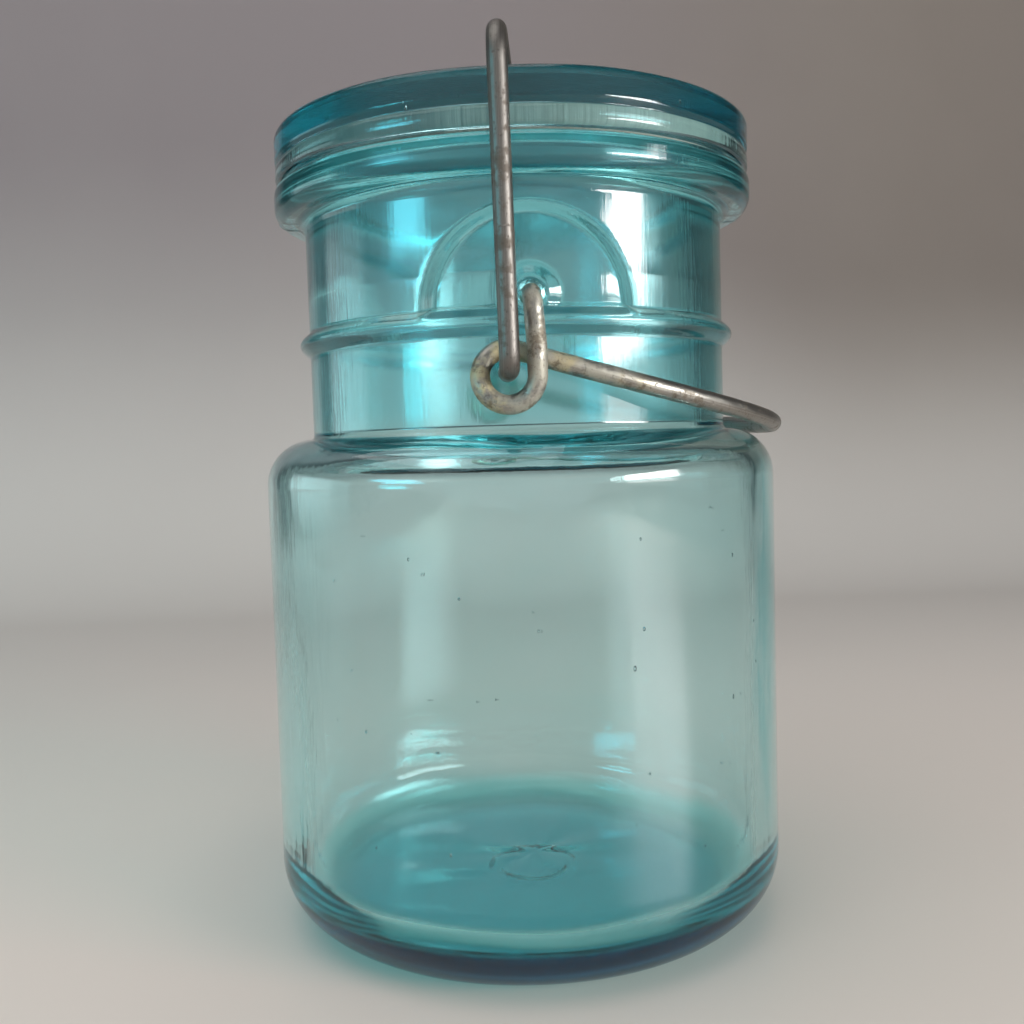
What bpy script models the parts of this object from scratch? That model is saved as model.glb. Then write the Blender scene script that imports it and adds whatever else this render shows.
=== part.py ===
"""Aqua glass pint canning jar with a glass lid, latched by a wire bail and a toggle lever.

Metres, +Z up. The origin is the centre of the base, on the surface that the jar stands on.
The two lever sockets lie on the Y axis, and the lever's yoke wraps the +X side of the neck.
"""

import math

import bmesh
import bpy
from mathutils import Matrix, Vector

MM = 0.001
TURN_STEPS = 48

# Jar body, in millimetres
BODY_RADIUS = 43.0
BODY_WALL = 3.0
HEEL_RADIUS = 7.6
INNER_HEEL_RADIUS = 7.0
FLOOR_HEIGHT = 6.5
FLOOR_CROWN = 0.6
VALVE_MARK_RADIUS = 7.2
VALVE_MARK_HALF_WIDTH = 1.0
VALVE_MARK_DEPTH = 0.4
SHOULDER_RADIUS = 7.5
SHOULDER_HEIGHT = 81.1
NECK_RADIUS = 35.05
NECK_INNER_RADIUS = 31.4
NECK_FOOT_FILLET = 0.45
THROAT_RADIUS = 3.0
BEAD_HEIGHT = 96.7
BEAD_RADIUS = 1.3
LIP_RADIUS = 39.9
LIP_TOP = 122.2
LIP_BOTTOM = 116.8
LIP_LOWER_ROUND = 2.2
LIP_UPPER_ROUND = 1.3
LIP_COVE = 1.8
MOUTH_RADIUS = 30.4
MOUTH_DEPTH = 2.0
MOUTH_CHAMFER = 0.8
MOUTH_FLARE = 16.0

# Half-round bosses that hold the lever
BOSS_RADIUS = 13.4
BOSS_ROOT_RADIUS = 15.6
BOSS_CENTRE_HEIGHT = 98.6
BOSS_CREST = 37.1
BOSS_CROWN = 1.9
BOSS_TILT_DEG = 5.0
BOSS_EDGE_ROUND = 0.6
BOSS_ROOT = 31.2
BOSS_FOOT_OUTER_HEIGHT = 98.0
BOSS_FOOT_INNER_HEIGHT = 96.0
BOSS_FOOT_INNER_REACH = 35.0
SOCKET_RADIUS = 1.8
SOCKET_DEPTH = 3.7
SOCKET_RIM_RADIUS = 4.8
SOCKET_RIM_HEIGHT = 0.8
SOCKET_RIM_ROOT = 32.2

# Glass lid
LID_RADIUS = 39.6
LID_TOP = 130.8
LID_SKIRT_BOTTOM = 122.7
LID_EDGE_ROUND = 1.0
LID_DISH_HEIGHT = 128.8
LID_DISH_RADIUS = 34.6
LID_RIM_INNER = 36.0
RING_SEAT_HEIGHT = 124.9
RING_SEAT_OUTER = 37.6
RING_SEAT_INNER = 31.6
SKIRT_CHAMFER = 0.4
PLUG_RADIUS = 29.6
PLUG_TOP = 123.9
PLUG_BOTTOM = 121.8
PLUG_ROUND = 1.2
PLUG_RIM_WIDTH = 5.0
UNDERSIDE_CROWN = 122.6
HUMP_TOP = 137.2
HUMP_FLAT_RADIUS = 6.0
HUMP_RADIUS = 14.5
HUMP_FOOT_HEIGHT = 131.0
GROOVE_HALF_WIDTH = 2.2
GROOVE_FLARE = 0.5
GROOVE_CENTRE_HEIGHT = 135.3

# Rubber sealing ring
RING_INNER = 31.9
RING_OUTER = 37.2
RING_BOTTOM = 122.5
RING_TOP = 124.6
RING_ROUND = 0.5

# Wire closure
WIRE_RADIUS = 1.4
WIRE_SIDES_SETTING = 3
PIVOT_HEIGHT = 100.0
PIN_END = 34.9
LIMB_REACH = 41.1
ARM_REACH = 37.9
HOOK_BEND = 2.2
EYE_X = -3.4
EYE_HEIGHT = 88.7
EYE_RADIUS = 3.9
EYE_STEPS = 22
ARM_SLOPE_DEG = 17.0
YOKE_START_X = 4.0
YOKE_APEX_X = 43.3
YOKE_APEX_HEIGHT = 81.5
YOKE_STEPS = 14
BAIL_PIN_HEIGHT = 89.4
BAIL_PIN_END = 36.3
BAIL_REACH = 43.9
BAIL_SKEW_X = 4.0
BAIL_SHOULDER_HEIGHT = 135.2
BAIL_CROWN_HEIGHT = 136.0
BAIL_BEND = 5.0
BAIL_CROWN_STEPS = 10
BEND_STEPS = 6


def arc(centre, radius, start_deg, end_deg, steps):
    """Points (r, z) along a circular arc, both ends included."""
    points = []
    for i in range(steps + 1):
        angle = math.radians(start_deg + (end_deg - start_deg) * i / steps)
        points.append((centre[0] + radius * math.cos(angle), centre[1] + radius * math.sin(angle)))
    return points


def link(obj):
    bpy.context.scene.collection.objects.link(obj)
    return obj


def material(name, colour, roughness, metallic=0.0, transmission=0.0):
    """A Principled material in the colour of the piece."""
    made = bpy.data.materials.new(name)
    made.use_nodes = True
    shader = made.node_tree.nodes["Principled BSDF"]
    shader.inputs["Base Color"].default_value = (*colour, 1.0)
    shader.inputs["Roughness"].default_value = roughness
    shader.inputs["Metallic"].default_value = metallic
    shader.inputs["Transmission Weight"].default_value = transmission
    made.diffuse_color = (*colour, 1.0)
    return made


def mesh_object(name, mesh_data, finish=None):
    """An object that holds a finished bmesh, with smooth faces and crisp edges."""
    bmesh.ops.remove_doubles(mesh_data, verts=mesh_data.verts, dist=1e-6)
    bmesh.ops.recalc_face_normals(mesh_data, faces=mesh_data.faces)
    mesh = bpy.data.meshes.new(name)
    mesh_data.to_mesh(mesh)
    mesh_data.free()
    mesh.shade_smooth()
    mesh.set_sharp_from_angle(angle=math.radians(40.0))
    if finish:
        mesh.materials.append(finish)
    return link(bpy.data.objects.new(name, mesh))


def turned_mesh(profile, closed_profile, steps=TURN_STEPS):
    """A profile of (r, z) points in millimetres, spun about the Z axis."""
    turned = bmesh.new()
    verts = [turned.verts.new((r * MM, 0.0, z * MM)) for r, z in profile]
    ends = verts[1:] + (verts[:1] if closed_profile else [])
    edges = [turned.edges.new(pair) for pair in zip(verts, ends)]
    bmesh.ops.spin(
        turned,
        geom=verts + edges,
        axis=(0.0, 0.0, 1.0),
        cent=(0.0, 0.0, 0.0),
        angle=2.0 * math.pi,
        steps=steps,
        use_merge=True,
    )
    return turned


def helper(obj):
    """A cutter or a piece that a Boolean joins on: kept in the file but not a part of its own."""
    obj.hide_render = True
    obj.display_type = "WIRE"
    return obj


def boolean(target, other, operation):
    step = target.modifiers.new(f"{operation.lower()}_{other.name}", "BOOLEAN")
    step.operation = operation
    step.object = other
    step.solver = "EXACT"


def jar_profile():
    """Outer wall from the base up to the lip, then the inner wall back down to the floor."""
    heel = (BODY_RADIUS - HEEL_RADIUS, HEEL_RADIUS)
    shoulder = (BODY_RADIUS - SHOULDER_RADIUS, SHOULDER_HEIGHT - SHOULDER_RADIUS)
    cove = (NECK_RADIUS + LIP_COVE, LIP_BOTTOM - LIP_COVE)
    lip_low = (LIP_RADIUS - LIP_LOWER_ROUND, LIP_BOTTOM + LIP_LOWER_ROUND)
    lip_high = (LIP_RADIUS - LIP_UPPER_ROUND, LIP_TOP - LIP_UPPER_ROUND)
    mouth_bottom = LIP_TOP - MOUTH_DEPTH
    throat_height = SHOULDER_HEIGHT
    throat = (NECK_INNER_RADIUS + THROAT_RADIUS, throat_height)
    inner_heel = (BODY_RADIUS - BODY_WALL - INNER_HEEL_RADIUS, FLOOR_HEIGHT + INNER_HEEL_RADIUS)
    mark_in = VALVE_MARK_RADIUS - VALVE_MARK_HALF_WIDTH
    mark_out = VALVE_MARK_RADIUS + VALVE_MARK_HALF_WIDTH
    base = [
        (0.0, 0.0),
        (mark_in, 0.0),
        (mark_in + VALVE_MARK_DEPTH, VALVE_MARK_DEPTH),
        (mark_out - VALVE_MARK_DEPTH, VALVE_MARK_DEPTH),
        (mark_out, 0.0),
    ]
    outside = arc(heel, HEEL_RADIUS, -90, 0, 6)
    outside += arc(shoulder, SHOULDER_RADIUS, 0, 90, 6)
    outside += [(NECK_RADIUS, SHOULDER_HEIGHT + NECK_FOOT_FILLET)]
    outside += arc((NECK_RADIUS, BEAD_HEIGHT), BEAD_RADIUS, -90, 90, 6)
    outside += arc(cove, LIP_COVE, 180, 90, 3)
    outside += arc(lip_low, LIP_LOWER_ROUND, -90, 0, 4)
    outside += arc(lip_high, LIP_UPPER_ROUND, 0, 90, 3)
    inside = [
        (MOUTH_RADIUS + MOUTH_CHAMFER, LIP_TOP),
        (MOUTH_RADIUS, LIP_TOP - MOUTH_CHAMFER),
        (MOUTH_RADIUS, mouth_bottom),
        (NECK_INNER_RADIUS, mouth_bottom - MOUTH_FLARE),
    ]
    inside += arc(throat, THROAT_RADIUS, 180, 270, 4)
    inside += arc(shoulder, SHOULDER_RADIUS - BODY_WALL, 90, 0, 4)
    inside += arc(inner_heel, INNER_HEEL_RADIUS, 0, -90, 5)
    inside += [(0.0, FLOOR_HEIGHT + FLOOR_CROWN)]
    return base + outside + inside


def boss(name, side):
    """Half of a crowned disc with flared sides on the neck, its underside sloping back to the bead.

    The disc leans out a little towards its top, about the line where its foot meets the neck.
    """
    edge = BOSS_RADIUS - BOSS_EDGE_ROUND
    crown = [(edge * i / 5, BOSS_CREST - BOSS_CROWN * (i / 5) ** 2) for i in range(6)]
    side_top = (BOSS_RADIUS, crown[-1][1] - BOSS_EDGE_ROUND)
    profile = crown + [side_top, (BOSS_ROOT_RADIUS, BOSS_ROOT), (0.0, BOSS_ROOT)]
    disc = turned_mesh(profile, closed_profile=False, steps=32)
    lay_down = Matrix.Rotation(math.radians(90.0), 4, "X")
    disc.transform(Matrix.Translation((0.0, 0.0, BOSS_CENTRE_HEIGHT * MM)) @ lay_down)
    foot = Matrix.Translation((0.0, -BOSS_FOOT_INNER_REACH * MM, BOSS_FOOT_INNER_HEIGHT * MM))
    lean = Matrix.Rotation(math.radians(BOSS_TILT_DEG), 4, "X")
    disc.transform(foot @ lean @ foot.inverted())
    foot_rise = BOSS_FOOT_OUTER_HEIGHT - BOSS_FOOT_INNER_HEIGHT
    foot_run = BOSS_CREST - BOSS_FOOT_INNER_REACH
    bmesh.ops.remove_doubles(disc, verts=disc.verts, dist=1e-6)
    cut = bmesh.ops.bisect_plane(
        disc,
        geom=disc.verts[:] + disc.edges[:] + disc.faces[:],
        plane_co=(0.0, -BOSS_CREST * MM, BOSS_FOOT_OUTER_HEIGHT * MM),
        plane_no=(0.0, -foot_rise, -foot_run),
        clear_outer=True,
    )
    rim = [part for part in cut["geom_cut"] if isinstance(part, bmesh.types.BMEdge)]
    bmesh.ops.holes_fill(disc, edges=rim, sides=0)
    if side > 0:
        disc.transform(Matrix.Rotation(math.pi, 4, "Z"))
    return helper(mesh_object(name, disc))


def socket_rim(name, side):
    """A low dome on the boss round one socket."""
    profile = []
    for i in range(7):
        share = i / 6
        rise = SOCKET_RIM_HEIGHT * (1.0 - 2.0 * share**2)
        profile.append((SOCKET_RIM_RADIUS * share, BOSS_CREST + rise))
    profile += [(SOCKET_RIM_RADIUS, SOCKET_RIM_ROOT), (0.0, SOCKET_RIM_ROOT)]
    rim = turned_mesh(profile, closed_profile=False, steps=24)
    lay_down = Matrix.Rotation(math.radians(-90.0 * side), 4, "X")
    rim.transform(Matrix.Translation((0.0, 0.0, PIVOT_HEIGHT * MM)) @ lay_down)
    return helper(mesh_object(name, rim))


def socket_cutter(name, side):
    """A plain drill for one blind lever socket, along the Y axis."""
    drill = bmesh.new()
    length = SOCKET_DEPTH + 2.0
    middle = BOSS_CREST - SOCKET_DEPTH + length / 2.0
    bmesh.ops.create_cone(
        drill,
        cap_ends=True,
        segments=16,
        radius1=SOCKET_RADIUS * MM,
        radius2=SOCKET_RADIUS * MM,
        depth=length * MM,
    )
    lay_down = Matrix.Rotation(math.radians(90.0), 4, "X")
    drill.transform(Matrix.Translation((0.0, side * middle * MM, PIVOT_HEIGHT * MM)) @ lay_down)
    return helper(mesh_object(name, drill))


def jar_body(glass):
    body = mesh_object("jar_body", turned_mesh(jar_profile(), closed_profile=False), glass)
    for word, side in (("near", -1), ("far", 1)):
        boolean(body, boss(f"boss_{word}", side), "UNION")
        boolean(body, socket_rim(f"socket_rim_{word}", side), "UNION")
    for word, side in (("near", -1), ("far", 1)):
        boolean(body, socket_cutter(f"socket_{word}", side), "DIFFERENCE")
    return body


def lid_profile():
    """Top from the hump outwards, down the rim, then the ring seat and the plug under it."""
    hump = [(0.0, HUMP_TOP)]
    for i in range(7):
        angle = math.radians(90.0 * i / 6)
        r = HUMP_FLAT_RADIUS + (HUMP_RADIUS - HUMP_FLAT_RADIUS) * math.sin(angle)
        z = HUMP_FOOT_HEIGHT + (HUMP_TOP - HUMP_FOOT_HEIGHT) * math.cos(angle)
        hump.append((r, z))
    foot = HUMP_FOOT_HEIGHT - LID_DISH_HEIGHT
    top = arc((HUMP_RADIUS + foot, HUMP_FOOT_HEIGHT), foot, 180, 270, 3)[1:]
    top += [(LID_DISH_RADIUS, LID_DISH_HEIGHT), (LID_RIM_INNER, LID_TOP)]
    rim_top = (LID_RADIUS - LID_EDGE_ROUND, LID_TOP - LID_EDGE_ROUND)
    rim_low = (LID_RADIUS - LID_EDGE_ROUND, LID_SKIRT_BOTTOM + LID_EDGE_ROUND)
    rim = arc(rim_top, LID_EDGE_ROUND, 90, 0, 3) + arc(rim_low, LID_EDGE_ROUND, 0, -90, 3)
    seat = [
        (RING_SEAT_OUTER + SKIRT_CHAMFER, LID_SKIRT_BOTTOM),
        (RING_SEAT_OUTER, LID_SKIRT_BOTTOM + SKIRT_CHAMFER),
        (RING_SEAT_OUTER, RING_SEAT_HEIGHT),
        (RING_SEAT_INNER, RING_SEAT_HEIGHT),
        (PLUG_RADIUS, PLUG_TOP),
    ]
    plug = arc((PLUG_RADIUS - PLUG_ROUND, PLUG_BOTTOM + PLUG_ROUND), PLUG_ROUND, 0, -90, 4)
    hollow_edge = PLUG_RADIUS - PLUG_RIM_WIDTH
    hollow = []
    for i in range(6):
        share = i / 5
        depth = (UNDERSIDE_CROWN - PLUG_BOTTOM) * (1.0 - (1.0 - share) ** 2)
        hollow.append((hollow_edge * (1.0 - share), PLUG_BOTTOM + depth))
    return hump + top + rim + seat + plug + hollow


def groove_cutter():
    """A flared trough across the hump, along the line that the bail takes."""
    trough = bmesh.new()
    floor = arc((0.0, GROOVE_CENTRE_HEIGHT), GROOVE_HALF_WIDTH, 180, 360, 8)
    over = HUMP_TOP + 2.0
    section = floor + [(GROOVE_HALF_WIDTH + GROOVE_FLARE, over), (-GROOVE_HALF_WIDTH - GROOVE_FLARE, over)]
    half_length = HUMP_RADIUS + 4.0
    face = trough.faces.new([trough.verts.new((x * MM, -half_length * MM, z * MM)) for x, z in section])
    grown = bmesh.ops.extrude_face_region(trough, geom=[face])
    moved = [part for part in grown["geom"] if isinstance(part, bmesh.types.BMVert)]
    bmesh.ops.translate(trough, verts=moved, vec=(0.0, 2.0 * half_length * MM, 0.0))
    skew = math.atan2(BAIL_SKEW_X, BAIL_REACH)
    trough.transform(Matrix.Rotation(-skew, 4, "Z"))
    return helper(mesh_object("lid_groove", trough))


def lid(glass):
    cover = mesh_object("lid", turned_mesh(lid_profile(), closed_profile=False), glass)
    boolean(cover, groove_cutter(), "DIFFERENCE")
    return cover


def sealing_ring(rubber):
    corners = (
        (RING_OUTER - RING_ROUND, RING_TOP - RING_ROUND, 90, 0),
        (RING_OUTER - RING_ROUND, RING_BOTTOM + RING_ROUND, 0, -90),
        (RING_INNER + RING_ROUND, RING_BOTTOM + RING_ROUND, 270, 180),
        (RING_INNER + RING_ROUND, RING_TOP - RING_ROUND, 180, 90),
    )
    profile = []
    for r, z, start, end in corners:
        profile += arc((r, z), RING_ROUND, start, end, 2)
    return mesh_object("sealing_ring", turned_mesh(profile, closed_profile=True), rubber)


def filleted(points, radii):
    """A polyline with each inner corner replaced by an arc of the radius given for it."""
    points = [Vector(point) for point in points]
    path = [points[0]]
    for before, corner, after, radius in zip(points, points[1:], points[2:], radii):
        if not radius:
            path.append(corner)
            continue
        back = (before - corner).normalized()
        ahead = (after - corner).normalized()
        half = back.angle(ahead) / 2.0
        reach = radius / math.tan(half)
        middle = corner + (back + ahead).normalized() * radius / math.sin(half)
        first = corner + back * reach - middle
        last = corner + ahead * reach - middle
        sweep = first.angle(last)
        for i in range(BEND_STEPS + 1):
            share = i / BEND_STEPS
            mix = math.sin((1.0 - share) * sweep) * first + math.sin(share * sweep) * last
            path.append(middle + mix / math.sin(sweep))
    return path + [points[-1]]


def wire(name, path, origin, finish):
    """A round wire along a path in millimetres, with its origin on its hinge axis."""
    curve = bpy.data.curves.new(name, "CURVE")
    curve.dimensions = "3D"
    curve.bevel_depth = WIRE_RADIUS * MM
    curve.bevel_resolution = WIRE_SIDES_SETTING
    curve.use_fill_caps = True
    spline = curve.splines.new("POLY")
    spline.points.add(len(path) - 1)
    for point, place in zip(spline.points, path):
        point.co = (*((Vector(place) - Vector(origin)) * MM), 1.0)
    spline.use_smooth = True
    curve.materials.append(finish)
    obj = link(bpy.data.objects.new(name, curve))
    axis = link(bpy.data.objects.new(f"{name}_axis", None))
    axis.location = Vector(origin) * MM
    axis.empty_display_size = 0.01
    obj.parent = axis
    return obj


def mirrored(path):
    """The same half path on the far side, run from the middle to its end."""
    return [Vector((p.x, -p.y, p.z)) for p in reversed(path)]


def lever_path():
    """Socket pin, limb, one turn of eye and half the yoke, then the same mirrored across Y = 0."""
    limb_x = EYE_X + EYE_RADIUS
    corners = [
        (0.0, -PIN_END, PIVOT_HEIGHT),
        (0.0, -LIMB_REACH, PIVOT_HEIGHT),
        (limb_x, -LIMB_REACH, EYE_HEIGHT + EYE_RADIUS),
        (limb_x, -LIMB_REACH, EYE_HEIGHT),
    ]
    half = filleted(corners, (HOOK_BEND, EYE_RADIUS))
    turn = math.radians(270.0 + ARM_SLOPE_DEG)
    for i in range(1, EYE_STEPS + 1):
        share = i / EYE_STEPS
        x = EYE_X + EYE_RADIUS * math.cos(turn * share)
        z = EYE_HEIGHT - EYE_RADIUS * math.sin(turn * share)
        half.append(Vector((x, -LIMB_REACH + (LIMB_REACH - ARM_REACH) * share, z)))
    exit_x = half[-1].x
    exit_z = half[-1].z
    slope = math.tan(math.radians(ARM_SLOPE_DEG))
    span = YOKE_APEX_X - exit_x
    ease = (YOKE_APEX_HEIGHT - exit_z + slope * span) / span**2
    for i in range(YOKE_STEPS + 1):
        angle = math.radians(90.0 * i / YOKE_STEPS)
        x = YOKE_START_X + (YOKE_APEX_X - YOKE_START_X) * math.sin(angle)
        run = x - exit_x
        half.append(Vector((x, -ARM_REACH * math.cos(angle), exit_z - slope * run + ease * run**2)))
    return half + mirrored(half)[1:]


def bail_path():
    """Pin in the near eye, near leg, arched crown over the lid, far leg and pin in the far eye."""
    crown_half = BAIL_REACH - 2.0 * BAIL_BEND
    crown_rise = BAIL_CROWN_HEIGHT - BAIL_SHOULDER_HEIGHT
    crown_end_slope = 2.0 * crown_rise / crown_half
    corner_height = BAIL_SHOULDER_HEIGHT - crown_end_slope * (BAIL_REACH - crown_half)
    corners = [
        (EYE_X, -BAIL_PIN_END, BAIL_PIN_HEIGHT),
        (EYE_X, -BAIL_REACH, BAIL_PIN_HEIGHT),
        (-BAIL_SKEW_X, -BAIL_REACH, corner_height),
    ]
    radii = [HOOK_BEND, BAIL_BEND]
    for i in range(BAIL_CROWN_STEPS + 1):
        share = 2.0 * i / BAIL_CROWN_STEPS - 1.0
        y = crown_half * share
        z = BAIL_SHOULDER_HEIGHT + crown_rise * (1.0 - share**2)
        corners.append((BAIL_SKEW_X * y / BAIL_REACH, y, z))
        radii.append(0.0)
    corners += [
        (BAIL_SKEW_X, BAIL_REACH, corner_height),
        (EYE_X, BAIL_REACH, BAIL_PIN_HEIGHT),
        (EYE_X, BAIL_PIN_END, BAIL_PIN_HEIGHT),
    ]
    radii += [BAIL_BEND, HOOK_BEND]
    return filleted(corners, radii)


def build():
    for old in list(bpy.data.objects):
        bpy.data.objects.remove(old)
    glass = material("aqua_glass", (0.30, 0.62, 0.64), 0.06, transmission=1.0)
    lid_glass = material("aqua_lid_glass", (0.26, 0.58, 0.62), 0.06, transmission=1.0)
    rubber = material("pale_rubber", (0.72, 0.70, 0.64), 0.6)
    lever_metal = material("lever_wire_zinc", (0.42, 0.40, 0.36), 0.45, metallic=1.0)
    bail_metal = material("bail_wire_zinc", (0.36, 0.34, 0.31), 0.40, metallic=1.0)
    jar_body(glass)
    sealing_ring(rubber)
    lid(lid_glass)
    wire("lever_wire", lever_path(), (0.0, 0.0, PIVOT_HEIGHT), lever_metal)
    wire("bail_wire", bail_path(), (EYE_X, 0.0, BAIL_PIN_HEIGHT), bail_metal)


build()
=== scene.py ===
"""Looks of an aqua glass canning jar with a glass lid, a wire bail and a toggle lever.

The frame is in metres with +Z up. Sizes and places named here are in millimetres.
"""

import math

import bpy
import numpy as np
from mathutils import Matrix, Vector


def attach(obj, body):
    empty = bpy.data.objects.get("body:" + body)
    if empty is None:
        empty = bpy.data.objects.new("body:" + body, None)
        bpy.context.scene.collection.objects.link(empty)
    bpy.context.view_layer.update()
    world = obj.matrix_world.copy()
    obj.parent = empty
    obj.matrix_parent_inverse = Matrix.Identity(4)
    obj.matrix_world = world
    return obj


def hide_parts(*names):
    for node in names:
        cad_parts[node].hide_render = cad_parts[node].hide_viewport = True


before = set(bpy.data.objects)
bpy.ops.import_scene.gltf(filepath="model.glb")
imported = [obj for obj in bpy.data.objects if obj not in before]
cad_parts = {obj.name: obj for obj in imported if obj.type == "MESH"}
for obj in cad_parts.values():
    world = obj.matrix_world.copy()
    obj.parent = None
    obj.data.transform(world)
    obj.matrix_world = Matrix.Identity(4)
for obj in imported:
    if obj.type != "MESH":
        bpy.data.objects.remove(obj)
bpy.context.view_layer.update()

MM = 0.001

# Jar glass
BODY_RADIUS = 43.0
BODY_WALL = 3.0
HEEL_RADIUS = 11.2
INNER_HEEL_RADIUS = 7.0
FLOOR_HEIGHT = 6.5
FLOOR_CROWN = 0.6
VALVE_MARK_RADIUS = 7.2
VALVE_MARK_HALF_WIDTH = 1.9
VALVE_MARK_DEPTH = 0.3
SHOULDER_RADIUS = 7.5
SHOULDER_HEIGHT = 81.1
NECK_RADIUS = 35.05
NECK_INNER_RADIUS = 31.4
NECK_FOOT_FILLET = 0.45
THROAT_RADIUS = 3.0
BEAD_HEIGHT = 96.7
BEAD_RISE = 1.6
BEAD_HALF_WIDTH = 2.0
BEAD_POWER = 1.2
LIP_RADIUS = 39.9
LIP_TOP = 122.2
LIP_BOTTOM = 116.8
LIP_LOWER_ROUND = 2.2
LIP_UPPER_ROUND = 1.3
LIP_COVE = 1.8
MOUTH_RADIUS = 30.4
MOUTH_DEPTH = 2.0
MOUTH_FLARE = 16.0
MOUTH_ROUND = 0.8

# Bosses and lever sockets
BOSS_RADIUS = 13.4
BOSS_SIDE_LEAD = 0.4
BOSS_SIDE_RUN = 2.3
BOSS_CENTRE_HEIGHT = 98.6
BOSS_CREST = 37.5
BOSS_CROWN = 2.6
BOSS_TILT_DEG = 5.0
BOSS_TILT_HEIGHT = 96.0
BOSS_FOOT_LOW = 97.2
BOSS_FOOT_HIGH = 98.5
SOCKET_RADIUS = 1.8
SOCKET_EDGE = 0.3
SOCKET_DEPTH = 3.7
SOCKET_RIM_RADIUS = 4.8
SOCKET_RIM_HEIGHT = 0.9

# Mould seams up the two sides, which come in between two heights above the base
SEAM_HEIGHT = 0.12
SEAM_HALF_WIDTH = 0.5
SEAM_FADE = (1.5, 5.0)

# Columns round the jar, and the half width in degrees and extra density of their crowds in a sampled turn
JAR_COLUMNS = 300
TURN_SAMPLES = 7201
BOSS_CROWD = (20.0, 1.6)
SOCKET_CROWD = (3.0, 2.6)
SEAM_CROWD = (1.2, 2.5)

# Rows up the neck: their steps below, across and above the bead and the sockets
NECK_STEP_LOW = 0.8
NECK_STEP_FINE = 0.24
NECK_STEP_HIGH = 0.45
FINE_BELOW_BEAD = 0.2
FINE_ABOVE_PIVOT = 2.6

# Lid glass
LID_COLUMNS = 360
LID_RADIUS = 39.6
LID_TOP = 130.8
LID_SKIRT_BOTTOM = 122.7
LID_EDGE_ROUND = 1.0
LID_GROOVE_HEIGHT = 125.7
LID_GROOVE_HALF_WIDTH = 0.45
LID_GROOVE_DEPTH = 0.45
LID_DISH_HEIGHT = 130.4
LID_DISH_RADIUS = 34.6
LID_RIM_INNER = 36.0
RING_SEAT_HEIGHT = 126.0
RING_SEAT_OUTER = 37.6
RING_SEAT_INNER = 31.6
SEAT_CHAMFER = 0.4
PLUG_RADIUS = 29.6
PLUG_SHOULDER = 125.0
PLUG_BOTTOM = 121.8
PLUG_ROUND = 1.2
PLUG_RIM_WIDTH = 5.0
UNDERSIDE_CROWN = 122.6
HUMP_TOP = 137.2
HUMP_FLAT_RADIUS = 6.0
HUMP_RADIUS = 14.5
HUMP_FOOT_HEIGHT = 131.0
HUMP_SIDE_MARGIN = 3.0
HUMP_FOOT_MARGIN = 0.5
GROOVE_HALF_WIDTH = 2.2
GROOVE_FLARE = 0.5
GROOVE_FLARE_RISE = 3.7
GROOVE_CENTRE_HEIGHT = 135.3
LID_FROST_MARGIN = 0.1

# Waves in the glass. Where a skin's normal turns back past a limit, its waves are read at a shifted height
JAR_RIPPLE = {"seed": 3, "turns": 9, "rate": 0.07}
LID_RIPPLE = {"seed": 11, "turns": 11, "rate": 0.35}
LID_WANDER = 0.05
LID_WANDER_FADE = 12.0
BACK_LIMIT = -0.3
BACK_SHIFT = 400.0

# Rubber sealing ring
RING_COLUMNS = 180
RING_INNER = 31.9
RING_OUTER = 37.2
RING_BOTTOM = 122.5
RING_TOP = 125.7
RING_ROUND = 0.5

# Wire closure
WIRE_RADIUS = 1.4
PIVOT_HEIGHT = 100.0
PIN_END = 34.9
LIMB_REACH = 41.1
ARM_REACH = 37.9
HOOK_BEND = 2.2
EYE_X = -3.4
EYE_HEIGHT = 88.7
EYE_RADIUS = 3.9
ARM_SLOPE_DEG = 17.0
YOKE_START_X = 4.0
YOKE_APEX_X = 43.3
YOKE_APEX_HEIGHT = 81.5
BAIL_PIN_HEIGHT = 89.4
BAIL_PIN_END = 36.3
BAIL_REACH = 43.9
BAIL_SKEW_X = 4.0
BAIL_SHOULDER_HEIGHT = 135.2
BAIL_CROWN_HEIGHT = 136.0
BAIL_BEND = 5.0
WIRE_STEP = 0.45
WIRE_SIDES = 28
WIRE_RIPPLE = {"turns": 4, "rate": 1.9, "count": 22}
LEVER_SKIN = {"seed": 21, "lumps": 0.016}
BAIL_SKIN = {"seed": 22, "lumps": 0.0025}
EYE_POINTS = 90
YOKE_POINTS = 80
CROWN_POINTS = 80

# Seeds, the small bubbles in the glass
SEED_RINGS = 9
SEED_SIDES = 12
SEED_STRETCH = (1.0, 1.9)
JAR_SEEDS = {"seed": 5, "count": 46, "radii": (40.9, 42.2), "heights": (14.0, 70.0), "sizes": (0.10, 0.26)}
LID_SEEDS = {"seed": 6, "count": 16, "radii": (34.0, 38.6), "heights": (126.0, 128.0), "sizes": (0.12, 0.34)}

# Camera, found from the outlines in the photo
CAMERA_PLACE = (-10.87, -188.61, 79.36)
CAMERA_AHEAD = (0.0493, 0.9969, -0.0621)
CAMERA_ROLL_DEG = -1.71
CAMERA_LENS = 38.06
SENSOR_WIDTH = 36.0
CAMERA_CLIP = 10.0


def smooth_step(low, high, value):
    """Zero below low, one above high, and the cubic 3t^2 - 2t^3 of the share t between them."""
    share = np.clip((value - low) / (high - low), 0.0, 1.0)
    return share * share * (3.0 - 2.0 * share)


def run(start, end, count):
    """Points on a straight stretch, closest together at its ends, without the last one."""
    share = 0.5 - 0.5 * np.cos(np.pi * np.arange(count) / count)
    return np.outer(1.0 - share, start) + np.outer(share, end)


def arc(centre, radius, start_deg, end_deg, count):
    """Points on a circle: its centre plus the radius times cosine and sine of evenly spread angles."""
    turn = np.radians(np.linspace(start_deg, end_deg, count))
    return np.column_stack((centre[0] + radius * np.cos(turn), centre[1] + radius * np.sin(turn)))


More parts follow.
